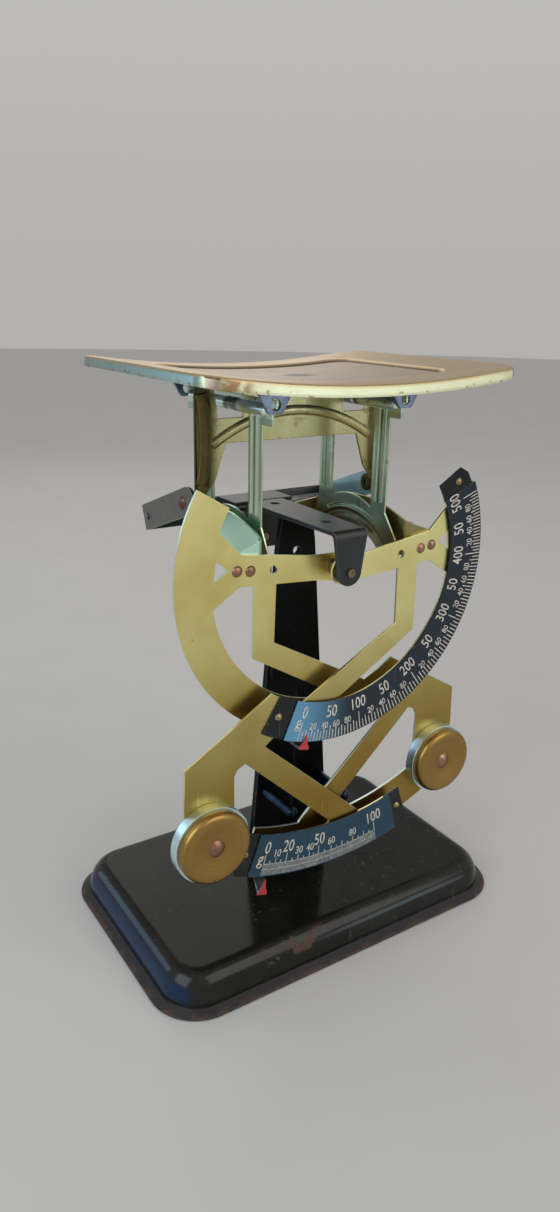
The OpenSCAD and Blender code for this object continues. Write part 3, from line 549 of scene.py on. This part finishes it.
def pan_brass():
    """The pan: tan tarnish on top, a greyer worn recess with its walls painted dark as shade, bright rims
    with the left one painted grey-green as a reflection, and dark nicks.
    """
    paint = Paint("pan_worn_brass")
    x, y, z = paint.axes()
    clouds = paint.noise(22.0, 4.0)
    mottle = paint.noise(5.0, 4.0)
    grain = paint.noise(0.4, 2.0)
    wipes = paint.noise(3.0, 3.0, (0.16, 1.0, 1.0), (0.0, 0.0, 0.35))
    bend = PAN_BEND_R - (PAN_BEND_R ** 2 - x * x) ** 0.5
    depth = PAN_TOP_Z + bend - z
    end = abs(x).step(PAN_L / 2 - 1.9, PAN_L / 2 - 1.1)
    side = depth.step(0.35, 0.8) * end.most(abs(y - PAN_Y).step(PAN_W / 2 - 1.9, PAN_W / 2 - 1.1))
    recess = depth.step(0.25, 0.9) * (1.0 - side)
    wall = recess * depth.step(RECESS_D - 0.01, RECESS_D - 0.1)
    left = x.step(-56.8, -58.6)
    spot = (((x - SPOT_AT[0]) / SPOT_R[0]) ** 2.0 + ((y - SPOT_AT[1]) / SPOT_R[1]) ** 2.0) ** 0.5
    worn_spot = (spot + mottle * 0.8).step(1.25, 0.75)
    rim_nicks = side * depth.step(2.0, 3.0) * paint.noise(2.0, 3.0).step(0.6, 0.66)
    nicks = (paint.specks(5.2, 0.10) * mottle.step(0.42, 0.54)).most(rim_nicks)
    under = depth.step(2.6, 3.2)
    color = paint.mix(clouds, (0.54, 0.39, 0.21), (0.43, 0.30, 0.15))
    color = paint.mix(recess, color, paint.mix(mottle, (0.45, 0.37, 0.29), (0.33, 0.27, 0.21)))
    # Painted shade: the recess walls are darkened to a deep brown
    color = paint.mix(wall, color, (0.09, 0.045, 0.014))
    color = paint.mix(worn_spot * recess * 0.9, color, (0.09, 0.075, 0.06))
    color = paint.mix(side, color, paint.mix(mottle, (0.95, 0.95, 0.66), (0.84, 0.83, 0.52)))
    corner_stain = side * abs(x - STAIN_X).step(8.0, 4.0) * y.step(-43.0, -44.5) * mottle.step(0.34, 0.5)
    color = paint.mix(corner_stain * 0.85, color, (0.3, 0.13, 0.025))
    # Painted reflection: the left rim is tinted grey-green as if lit by cool light from the left
    color = paint.mix(left * side, color, paint.mix(mottle, (0.29, 0.37, 0.33), (0.21, 0.27, 0.23)))
    rim_line = side * depth.step(1.2, 0.7)
    color = paint.mix(rim_line * 0.6, color, (0.42, 0.28, 0.1))
    color = paint.mix(wipes.step(0.55, 0.75) * 0.3, color, (0.52, 0.42, 0.28))
    color = paint.mix(nicks * 0.85, color, BROWN)
    color = paint.mix(under * 0.3, color, (0.3, 0.24, 0.12))
    roughness = 0.24 + 0.1 * clouds + 0.1 * recess + 0.08 * wipes + 0.3 * nicks
    height = grain * 0.3 + mottle * 0.5 - nicks * 0.8 + wipes * 0.2
    return paint.finish(color, roughness, 1.0 - 0.5 * nicks - 0.5 * side * (1.0 - left), height, 0.015, 0.3)


def scale_enamel():
    """Glossy lacquer of the scale strips: blue on the raised parts, black on the tabs. The lower strip is
    painted a darker blue as shade, and the upper strip's 0 end a bright blue as a painted reflection.
    """
    paint = Paint("scale_lacquer")
    x, y, z = paint.axes()
    raised = y.step(STRIP_FRONT_Y + 0.4, STRIP_FRONT_Y + 0.2)
    # Painted shade: the lower strip is given a darker blue
    lower = z.step(BETWEEN_STRIPS_Z + 5.0, BETWEEN_STRIPS_Z - 5.0)
    # Painted reflection: bright blue toward the upper strip's 0 end
    light = x.step(6.0, -20.0) * (1.0 - lower)
    clouds = paint.noise(12.0, 3.0)
    peel = paint.noise(0.9, 2.0)
    chips = paint.edge() * paint.noise(1.5, 4.0).step(0.58, 0.68)
    scuffs = paint.scratches(0.9, (0.0, 0.9, 0.0), 0.68)
    black = paint.mix(clouds.step(0.35, 0.7), (0.005, 0.006, 0.008), (0.009, 0.012, 0.016))
    blue = paint.mix(lower, (0.010, 0.021, 0.034), (0.013, 0.050, 0.088))
    blue = paint.mix(light, blue, (0.12, 0.32, 0.52))
    tone = paint.mix(raised, black, blue)
    tone = paint.mix(scuffs * 0.3, tone, (0.12, 0.13, 0.14))
    tone = paint.mix(chips * 0.8, tone, (0.3, 0.2, 0.1))
    roughness = 0.13 + 0.08 * clouds + 0.2 * scuffs + 0.25 * chips
    return paint.finish(tone, roughness, chips * 0.6, peel - chips, 0.012, 0.25, Specular_IOR_Level=0.35)


def figure_paint():
    """The pale figures and lines, a little rubbed."""
    paint = Paint("figures_silver")
    wear = paint.noise(1.3, 4.0)
    grain = paint.noise(0.2, 2.0)
    tone = paint.mix(wear.step(0.35, 0.7), (0.74, 0.72, 0.66), (0.52, 0.47, 0.40))
    return paint.finish(tone, 0.38 + 0.2 * wear, 0.25 * wear, grain, 0.01, 0.3)


def pointer_lacquer():
    """Black pointers with red tips and worn edges, which are tinted pale blue as a painted reflection. The
    upper tip's face lies 1 mm further forward than the lower's.
    """
    paint = Paint("pointer_lacquer")
    y = paint.axis(1)
    z = paint.axis(2)
    front = (y + z.step(50.0, 70.0)).step(-31.35, -31.5)
    clouds = paint.noise(2.2, 4.0)
    # Worn edges: the wear is real, the pale blue given to them below is a painted reflection
    wear = paint.edge() * clouds.step(0.42, 0.6)
    tone = paint.mix(clouds, (0.02, 0.021, 0.024), (0.05, 0.052, 0.057))
    tone = paint.mix(wear * (1.0 - front) * 0.7, tone, (0.45, 0.52, 0.68))
    tone = paint.mix(front, tone, paint.mix(clouds, (0.60, 0.045, 0.055), (0.42, 0.03, 0.04)))
    roughness = 0.3 + 0.12 * clouds + front * 0.1
    return paint.finish(tone, roughness, wear * 0.5 * (1.0 - front), clouds, 0.012, 0.3)


# The finishes

COLUMN_BLACK = enamel("column_enamel", (0.002, 0.003, 0.003), 0.24, 0.09, 0.02, (0.004, 0.006, 0.008))
BRACKET_BLACK = enamel("bracket_enamel", (0.013, 0.014, 0.015), 0.34, 0.5, 0.02)
PIN_BLACK = bare_metal("pin_blued", (0.03, 0.05, 0.085), (0.012, 0.018, 0.03), 0.22)
PIN_STEEL = bare_metal("pin_brown_steel", (0.36, 0.28, 0.2), (0.2, 0.15, 0.11), 0.28)
COPPER = bare_metal("copper_brown", (0.42, 0.24, 0.16), (0.24, 0.13, 0.085), 0.3)
SCALE_BRASS = plate_brass("scale_plate_brass", (0.99, 0.95, 0.46), (0.84, 0.76, 0.32), (0.95, 0.88, 0.5))
POINTER_BRASS = plate_brass("pointer_plate_brass", BRIGHT_BRASS, DEEP_BRASS, (0.75, 0.9, 0.82))
COPPER_DARK = bare_metal("copper_dark", (0.24, 0.13, 0.09), (0.12, 0.07, 0.05), 0.32)
# Painted shade: the scale stirrup is given a dark brown brass tone
SCALE_STIRRUP_SHADED = plate_brass(
    "scale_stirrup_brass_shaded", (0.42, 0.36, 0.16), (0.28, 0.22, 0.09), (0.6, 0.5, 0.3), 0.3)
# Painted light: the pointer stirrup is tinted teal-green as if lit from the left
POINTER_STIRRUP_TEAL_LIT = plate_brass(
    "pointer_stirrup_teal_lit", (0.66, 0.98, 0.78), (0.54, 0.80, 0.62), (0.5, 0.4, 0.2), 0.3)
# Painted reflection: the side frames are tinted green-blue where cool light falls on their left-facing sides
FRAME_BRASS_TEAL_REFLECTION = ribbed_brass(
    "frame_brass_teal_reflection", (0.66, 0.86, 0.70), (0.44, 0.52, 0.37), (0.30, 0.26, 0.12), (155.0, 149.0), 0.0, 0.8)
ARCH_BRASS = ribbed_brass(
    "arch_brass_olive", (0.64, 0.58, 0.30), (0.44, 0.38, 0.17), (0.42, 0.35, 0.17), (170.0, 160.0), 0.9)
ZINC = bare_metal("bracket_zinc_blue", (0.27, 0.31, 0.40), (0.16, 0.19, 0.26), 0.25, (0.12, 0.11, 0.1))
DISC_STEEL = turned_metal("disc_turned_steel", (0.72, 0.90, 0.94), (0.5, 0.62, 0.68), (0.7, 0.9, 0.96), 0.2)
CAP_BRASS = turned_metal(
    "cap_turned_brass", (0.44, 0.29, 0.09), (0.29, 0.17, 0.05), (0.32, 0.19, 0.055), 0.24)
SCREW_BRASS = bare_metal("screw_worn_brass", (0.44, 0.35, 0.18), (0.26, 0.2, 0.1), 0.24)
SHAFT_STEEL = bare_metal("shaft_steel", (0.3, 0.31, 0.32), (0.16, 0.16, 0.17), 0.28)
SCALE_BLACK = scale_enamel()
FIGURES = figure_paint()
POINTER_BLACK = pointer_lacquer()
BASE_BLACK = base_enamel()
SWING_BLACK = swing_steel()
PAN_BRASS = pan_brass()

# Each CAD node that keeps its form: slot, finish, width of its rounded edges, axis across its sheet
ROUNDED = (
    ("base_shell", "base_enamel", BASE_BLACK, 0.45, None),
    ("column", "stand_black", COLUMN_BLACK, 0.3, None),
    ("top_bracket", "stand_black", BRACKET_BLACK, 0.3, None),
    ("swing_frame", "swing_black", SWING_BLACK, 0.2, None),
    ("scale_plate", "scale_brass", SCALE_BRASS, 0.14, 1),
    ("pointer_plate", "pointer_brass", POINTER_BRASS, 0.14, 1),
    ("scale_stirrup", "stirrup_brass", SCALE_STIRRUP_SHADED, 0.14, None),
    ("pointer_stirrup", "stirrup_brass", POINTER_STIRRUP_TEAL_LIT, 0.14, None),
    ("scale_weight_disc", "disc_steel", DISC_STEEL, 0.3, None),
    ("pointer_weight_disc", "disc_steel", DISC_STEEL, 0.3, None),
    ("upper_scale", "scale_black", SCALE_BLACK, 0.14, None),
    ("lower_scale", "scale_black", SCALE_BLACK, 0.14, None),
    ("upper_pointer", "pointer_black", POINTER_BLACK, 0.12, None),
    ("lower_pointer", "pointer_black", POINTER_BLACK, 0.12, None),
    ("left_side_frame", "frame_brass", FRAME_BRASS_TEAL_REFLECTION, 0.2, 0),
    ("right_side_frame", "frame_brass", FRAME_BRASS_TEAL_REFLECTION, 0.2, 0),
    ("arch_frame", "arch_brass", ARCH_BRASS, 0.2, 1),
    ("pan_bracket", "bracket_zinc", ZINC, 0.2, None),
)

# CAD nodes that stay as they are, under a new finish
KEPT = (
    ("column_rivets", PIN_BLACK),
    ("guard_pins", PIN_BLACK),
    ("front_fulcrum_pin", PIN_STEEL),
    ("rear_fulcrum_pin", PIN_STEEL),
    ("swing_shaft", SHAFT_STEEL),
    ("swing_rivets", COPPER_DARK),
    ("scale_rivets", COPPER),
    ("pointer_rivets", COPPER),
    ("scale_weight_rivet", COPPER),
    ("pointer_weight_rivet", COPPER),
    ("scale_screws", SCREW_BRASS),
)


def dress_nodes():
    bodies = frame["record"]["behaviour"]["bodies"]
    body_of = {node: body for body, members in bodies.items() for node in members}
    for node, slot, finish, width, thin_axis in ROUNDED:
        piece = rounded_copy(node, width, thin_axis)
        dress(piece, body_of[node], finish)
        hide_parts(node)
    for node, finish in KEPT:
        for material_slot in frame["nodes"][node].material_slots:
            material_slot.material = finish


# The pan. Each ring of its sheet is a distance inward and a depth below the border.

PAN_EDGE = ((0.02, 1.15), (0.10, 0.62), (0.35, 0.24), (0.75, 0.06), (1.3, 0.0))
RECESS_EDGE = ((0.0, 0.0), (0.5, 0.05), (1.0, 0.3), (1.7, 0.8), (2.3, 1.05), (3.0, RECESS_D))
CUTS_PER_SIDE = 19
CUT_STEP = 3.0


def next_ring(length, width, drop, last):
    """Insets the selected face a little, then moves the inner loop to a new size and depth."""
    bpy.ops.mesh.inset(thickness=0.01 * MM)
    grow = (length / last[0], width / last[1], 1.0)
    bpy.ops.transform.resize(value=grow, center_override=ORIGIN)
    bpy.ops.transform.translate(value=(0.0, 0.0, (last[2] - drop) * MM))
    return (length, width, drop)


def make_pan():
    """One bent sheet: folded rim, rounded upper edge, flat border and a soft-edged recess."""
    bpy.ops.mesh.primitive_plane_add(size=1.0, location=(0.0, 0.0, -PAN_RIM * MM))
    pan = bpy.context.object
    pan.scale = (PAN_L * MM, PAN_W * MM, 1.0)
    settle(pan)
    edit(pan)
    bpy.ops.mesh.bevel(offset=PAN_CORNER_R * MM, segments=10, affect="VERTICES")
    bpy.ops.mesh.select_mode(type="FACE")
    bpy.ops.mesh.select_all(action="SELECT")
    ring = (PAN_L, PAN_W, PAN_RIM)
    for length, width, edge in ((PAN_L, PAN_W, PAN_EDGE), (RECESS_L, RECESS_W, RECESS_EDGE)):
        for inward, drop in edge:
            ring = next_ring(length - 2 * inward, width - 2 * inward, drop, ring)
    bpy.ops.mesh.select_mode(type="VERT")
    for cut in range(-CUTS_PER_SIDE, CUTS_PER_SIDE + 1):
        bpy.ops.mesh.select_all(action="SELECT")
        bpy.ops.mesh.bisect(plane_co=(cut * CUT_STEP * MM, 0.0, 0.0), plane_no=(1.0, 0.0, 0.0))
    leave_edit()
    pan.rotation_euler = (math.radians(-90.0), 0.0, 0.0)
    settle(pan)
    bend = pan.modifiers.new("bend", "SIMPLE_DEFORM")
    bend.deform_method = "BEND"
    bend.deform_axis = "Z"
    bend.angle = PAN_L / PAN_BEND_R
    apply_modifiers(pan)
    pan.rotation_euler = (math.radians(90.0), 0.0, 0.0)
    settle(pan)
    pan.location = (0.0, PAN_Y * MM, PAN_TOP_Z * MM)
    settle(pan)
    sheet = pan.modifiers.new("sheet", "SOLIDIFY")
    sheet.thickness = PAN_SHEET * MM
    sheet.offset = -1.0
    apply_modifiers(pan)
    smooth(pan, 40.0)
    name_piece(pan, "pan_bent_sheet")
    dress(pan, "pan_carrier", PAN_BRASS)
    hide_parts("pan")


# The turned caps of the weights: the section as radius and height above the disc

CAP_PROFILE = ((2.02, 2.35), (3.4, 2.36), (5.0, 2.5), (6.6, 2.8), (8.2, 3.15), (9.6, 3.42), (10.6, 3.5),
               (11.5, 3.42), (12.2, 3.1), (12.7, 2.5), (12.95, 1.7), (13.0, 0.8), (12.85, 0.05),
               (2.02, 0.05))


def make_cap(name, node, body, side, layer):
    """A cap spun from its section. Side is -1 for the scale's weight and 1 for the pointer's."""
    centre = Vector((side * WEIGHT_AT[0], SCALE_Y + layer - DISC_T, FULCRUM_Z - WEIGHT_AT[1])) * MM
    bpy.ops.mesh.primitive_circle_add(vertices=len(CAP_PROFILE), radius=MM)
    cap = bpy.context.object
    for vertex, (radius, out) in zip(cap.data.vertices, CAP_PROFILE):
        vertex.co = Vector((radius * MM, -out * MM, 0.0))
    cap.location = centre
    settle(cap)
    edit(cap)
    bpy.ops.mesh.spin(steps=96, angle=2 * math.pi, center=centre, axis=(0.0, 1.0, 0.0))
    leave_edit()
    recalculate_normals(cap)
    smooth(cap, 40.0)
    name_piece(cap, name)
    dress(cap, body, CAP_BRASS)
    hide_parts(node)


# Figures and lines of the two scales

UPPER_ANGLES = {0: -17.3, 100: 8.7, 200: 36.3, 300: 63.5, 400: 88.4, 500: 111.0}
LOWER_ANGLES = {0: -16.7, 10: -14.1, 20: -11.6, 30: -8.8, 40: -6.1, 50: -3.9, 60: -0.8, 80: 4.6, 100: 10.1}
FIGURE_RISE = 0.1
CAPITAL_SHARE = 0.72

# Lines: how many grams apart, and the radius where they start. The first that fits a mark counts.
UPPER_LINES = ((100, 53.8), (50, 55.6), (10, 56.5), (5, 57.4))
UPPER_LINE_END = 60.6
LOWER_FINE = (107.5, 111.9)
LOWER_ARCS = (107.5, 109.6)
LOWER_LINE_END = 107.6
LOWER_LONG = (0, 20, 50, 100)
LOWER_SHORT = (10, 30, 40, 60, 80)

# Figures: height, radius and narrowing. The unit also has its angle, after its height.
UPPER_LARGE = (4.6, 50.4, 0.72)
UPPER_SMALL = (2.5, 55.4, 0.85)
UPPER_UNIT = (4.4, -18.9, 54.0, 0.85)
LOWER_LARGE = (4.8, 101.3, 0.72)
LOWER_SMALL = (3.0, 103.6, 0.8)
LOWER_UNIT = (4.8, -17.7, 105.4, 0.85)


def angle_at(grams, angles):
    """The angle of a mark, between the two measured marks beside it."""
    marks = sorted(angles)
    for low, high in zip(marks, marks[1:]):
        if grams <= high:
            share = (grams - low) / (high - low)
            return angles[low] + share * (angles[high] - angles[low])
    return angles[marks[-1]]


def on_strip(angle, radius):
    """The place of a mark that is drawn in the XY plane with its top toward the fulcrum."""
    turn = Matrix.Rotation(math.radians(-angle), 4, "Y")
    out = Matrix.Translation((0.0, 0.0, -radius * MM))
    stand = Matrix.Rotation(math.radians(90.0), 4, "X")
    return Matrix.Translation((0.0, STRIP_FRONT_Y * MM, FULCRUM_Z * MM)) @ turn @ out @ stand


def figure(text, height, angle, radius, narrow):
    """A raised number, centred on its place."""
    bpy.ops.object.select_all(action="DESELECT")
    bpy.ops.object.text_add()
    words = bpy.context.object
    words.data.body = text
    words.data.size = height / CAPITAL_SHARE * MM
    words.data.align_x = "CENTER"
    words.data.align_y = "CENTER"
    words.data.extrude = FIGURE_RISE / 2 * MM
    words.data.offset = 0.004 * height * MM
    words.data.resolution_u = 3
    select_only(words)
    bpy.ops.object.convert(target="MESH")
    words = bpy.context.object
    words.matrix_world = on_strip(angle, radius) @ Matrix.Scale(narrow, 4, (1.0, 0.0, 0.0))
    settle(words)
    return words


def line_maker(width):
    """A raised line of unit length along Y, with its top edges taken off."""
    bpy.ops.mesh.primitive_cube_add(size=1.0)
    line = bpy.context.object
    line.scale = (width * MM, MM, FIGURE_RISE * MM)
    settle(line)
    for vertex in line.data.vertices:
        if vertex.co.z > 0:
            vertex.co.x *= 0.7
    return line


def lines(pattern, marks):
    """Copies of a line: each mark is an angle, an inner and an outer radius."""
    made = []
    for angle, inner, outer in marks:
        grow = Matrix.Scale(outer - inner, 4, (0.0, 1.0, 0.0))
        made.append(copied(pattern, on_strip(angle, (inner + outer) / 2) @ grow))
    removed(pattern)
    return made


def arc_line(radius, width, first, last):
    """A raised line that follows the strip."""
    bpy.ops.mesh.primitive_plane_add(size=1.0)
    arc = bpy.context.object
    arc.scale = (width * MM, FIGURE_RISE * MM, 1.0)
    settle(arc)
    place = Matrix.Translation((0.0, STRIP_FRONT_Y * MM, FULCRUM_Z * MM))
    place = place @ Matrix.Rotation(math.radians(90.0 - first), 4, "Y")
    arc.matrix_world = place @ Matrix.Translation((radius * MM, 0.0, 0.0))
    settle(arc)
    edit(arc)
    sweep = math.radians(last - first)
    centre = (0.0, STRIP_FRONT_Y * MM, FULCRUM_Z * MM)
    bpy.ops.mesh.spin(steps=48, angle=sweep, center=centre, axis=(0.0, 1.0, 0.0))
    leave_edit()
    recalculate_normals(arc)
    return arc


def upper_marks():
    marks = []
    for grams in range(0, 501, 5):
        inner = next(start for apart, start in UPPER_LINES if grams % apart == 0)
        marks.append((angle_at(grams, UPPER_ANGLES), inner, UPPER_LINE_END))
    return marks


def lower_marks():
    marks = []
    for grams in range(0, 101, 5):
        inner = 106.3 if grams % 10 else 105.4
        if grams in LOWER_LONG:
            inner = 103.9
        marks.append((angle_at(grams, LOWER_ANGLES), inner, LOWER_LINE_END))
    return marks


def numbered(text, grams, angles, kind):
    """A figure at its mark. Kind is its height, its radius and how narrow it is."""
    height, radius, narrow = kind
    return figure(text, height, angle_at(grams, angles), radius, narrow)


def make_upper_figures():
    made = lines(line_maker(0.42), upper_marks())
    for grams in range(0, 501, 50):
        text = str(grams) if grams % 100 == 0 else "50"
        made.append(numbered(text, grams, UPPER_ANGLES, UPPER_LARGE))
    for hundred in range(0, 500, 100):
        for tens in (20, 40, 60, 80):
            made.append(numbered(str(tens), hundred + tens, UPPER_ANGLES, UPPER_SMALL))
    made.append(figure("g", *UPPER_UNIT))
    return joined(made, "upper_figures")


def make_lower_figures():
    fine = [(angle_at(grams, LOWER_ANGLES), *LOWER_FINE) for grams in range(0, 101)]
    made = lines(line_maker(0.17), fine) + lines(line_maker(0.34), lower_marks())
    for radius in LOWER_ARCS:
        made.append(arc_line(radius, 0.22, LOWER_ANGLES[0], LOWER_ANGLES[100]))
    for grams in LOWER_LONG:
        made.append(numbered(str(grams), grams, LOWER_ANGLES, LOWER_LARGE))
    for grams in LOWER_SHORT:
        made.append(numbered(str(grams), grams, LOWER_ANGLES, LOWER_SMALL))
    made.append(figure("g", *LOWER_UNIT))
    return joined(made, "lower_figures")


# Lights, floor and camera

# Each lamp: name, place, the height it looks at, size, power, colour
LAMPS = (
    ("window", (-0.75, -0.15, 0.55), 0.1, 0.6, 3.0, (0.80, 0.91, 1.0)),
    ("room", (0.35, -0.8, 0.75), 0.12, 0.7, 2.9, (1.0, 0.94, 0.84)),
    ("low_front", (0.55, -0.85, 0.2), 0.01, 0.2, 0.36, (0.66, 0.86, 1.0)),
    ("low_back", (-0.67, 0.72, 0.34), 0.04, 0.3, 0.6, (0.4, 0.7, 1.0)),
    ("back", (0.3, 0.8, 0.6), 0.12, 0.5, 0.8, (1.0, 0.97, 0.92)),
)
FLOOR_R = 4.0
FLOOR_DROP = 0.0002


def soft_lamp(name, place, height, size, power, color):
    bpy.ops.object.light_add(type="AREA", location=place)
    lamp = bpy.context.object
    lamp.name = name
    lamp.data.shape = "SQUARE"
    lamp.data.size = size
    lamp.data.energy = power
    lamp.data.color = color
    aim = Vector((0.0, 0.0, height)) - Vector(place)
    lamp.rotation_euler = aim.to_track_quat("-Z", "Y").to_euler()


def make_stage():
    bpy.ops.mesh.primitive_circle_add(vertices=64, radius=FLOOR_R, fill_type="NGON")
    floor = bpy.context.object
    floor.location = (0.0, 0.0, -FLOOR_DROP)
    settle(floor)
    name_piece(floor, "floor")
    paint = Paint("pale_floor")
    grain = paint.noise(60.0, 3.0)
    tone = paint.mix(grain, (0.52, 0.51, 0.495), (0.48, 0.47, 0.455))
    floor.data.materials.append(paint.finish(tone, 0.6 + 0.1 * grain))


def make_world():
    """Even light, a little brighter from above."""
    world = bpy.data.worlds.new("studio")
    world.use_nodes = True
    bpy.context.scene.world = world
    tree = world.node_tree
    tree.nodes.clear()
    coords = tree.nodes.new("ShaderNodeTexCoord")
    parts = tree.nodes.new("ShaderNodeSeparateXYZ")
    ramp = tree.nodes.new("ShaderNodeValToRGB")
    background = tree.nodes.new("ShaderNodeBackground")
    output = tree.nodes.new("ShaderNodeOutputWorld")
    ramp.color_ramp.elements[0].position = 0.0
    ramp.color_ramp.elements[0].color = (0.60, 0.59, 0.57, 1.0)
    ramp.color_ramp.elements[1].position = 0.9
    ramp.color_ramp.elements[1].color = (0.86, 0.85, 0.84, 1.0)
    tree.links.new(coords.outputs["Generated"], parts.inputs[0])
    tree.links.new(parts.outputs["Z"], ramp.inputs[0])
    tree.links.new(ramp.outputs[0], background.inputs[0])
    tree.links.new(background.outputs[0], output.inputs[0])
    background.inputs["Strength"].default_value = 0.75


def make_camera():
    forward = Vector((math.sin(AZIMUTH) * math.cos(ELEVATION), math.cos(AZIMUTH) * math.cos(ELEVATION),
                      -math.sin(ELEVATION)))
    right = forward.cross(Vector((0.0, 0.0, 1.0))).normalized()
    up = right.cross(forward)
    turned_right = math.cos(ROLL) * right + math.sin(ROLL) * up
    turned_up = math.cos(ROLL) * up - math.sin(ROLL) * right
    data = bpy.data.cameras.new("photo_view")
    data.sensor_fit = "VERTICAL"
    data.sensor_height = SENSOR
    data.lens = FOCAL_PX / PHOTO_HEIGHT_PX * SENSOR
    data.clip_start = 0.01
    camera = bpy.data.objects.new("photo_view", data)
    bpy.context.scene.collection.objects.link(camera)
    axes = Matrix((turned_right, turned_up, -forward)).transposed().to_4x4()
    camera.matrix_world = Matrix.Translation(CAMERA_AT) @ axes
    bpy.context.scene.camera = camera


make_camera()
make_world()
make_stage()
for lamp in LAMPS:
    soft_lamp(*lamp)
bpy.context.scene.view_settings.view_transform = "Standard"

dress_nodes()
make_pan()
make_cap("scale_cap_turned", "scale_weight_cap", "scale_quadrant", -1, 0.0)
make_cap("pointer_cap_turned", "pointer_weight_cap", "pointer_quadrant", 1, LAYER_STEP)
for marks in (make_upper_figures(), make_lower_figures()):
    dress(marks, "scale_quadrant", FIGURES)
